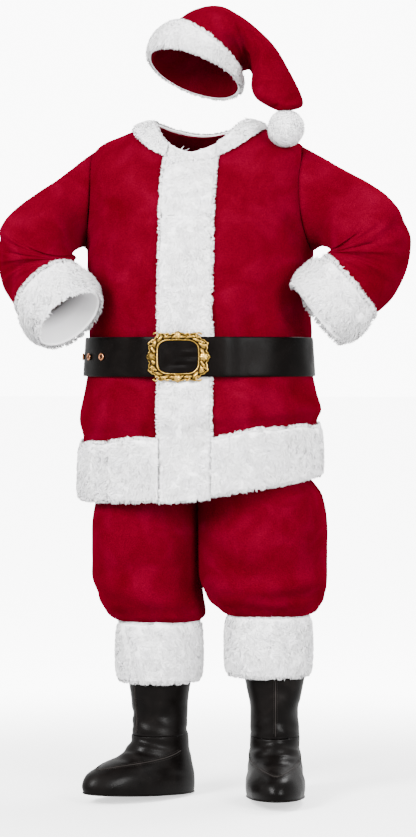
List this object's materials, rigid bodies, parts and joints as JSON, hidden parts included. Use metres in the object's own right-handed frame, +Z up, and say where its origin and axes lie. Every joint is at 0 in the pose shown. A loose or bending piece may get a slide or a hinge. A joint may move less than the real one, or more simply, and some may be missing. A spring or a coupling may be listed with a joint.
{
  "type": "santa suit costume",
  "caption": "Costume as worn: plush jacket, trousers, folded hat, belt with square buckle and boot tops, trimmed with fur.",
  "frame": {"origin": "middle of the wearer between the shoulders, at the height of the shoulder points, 1.42 m above the ground", "axes": "+Z up; -Y the way the wearer's chest faces; +X to the wearer's left"},
  "size_m": [0.9349, 0.4672, 1.808],
  "materials": {
    "red_plush": "crimson plush",
    "white_fur": "long white pile",
    "elastic_casing": "gathered casing",
    "belt_leather": "glossy smooth",
    "boot_vinyl": "satin grained",
    "gold_metal": "cast, aged",
    "copper_eyelet": "bright"
  },
  "bodies": {
    "root": {"belt_strap": "belt_leather", "boot_foot_left": "boot_vinyl", "boot_foot_right": "boot_vinyl", "boot_shaft_left": "boot_vinyl", "boot_shaft_right": "boot_vinyl", "buckle_bar": "gold_metal", "buckle_frame": "gold_metal", "eyelet_1": "copper_eyelet", "eyelet_2": "copper_eyelet", "eyelet_3": "copper_eyelet", "eyelet_4": "copper_eyelet", "front_band_fur": "white_fur", "hat_band_fur": "white_fur", "hat_cone": "red_plush", "hem_fur": "white_fur", "jacket_back": "red_plush", "jacket_front_left": "red_plush", "jacket_front_right": "red_plush", "neck_fur": "white_fur", "pompom": "white_fur", "sleeve_cuff_left": "white_fur", "sleeve_cuff_right": "white_fur", "sleeve_left": "red_plush", "sleeve_right": "red_plush", "trouser_back_left": "red_plush", "trouser_back_right": "red_plush", "trouser_cuff_left": "white_fur", "trouser_cuff_right": "white_fur", "trouser_front_left": "red_plush", "trouser_front_right": "red_plush", "waistband": "elastic_casing"}
  },
  "joints": []
}
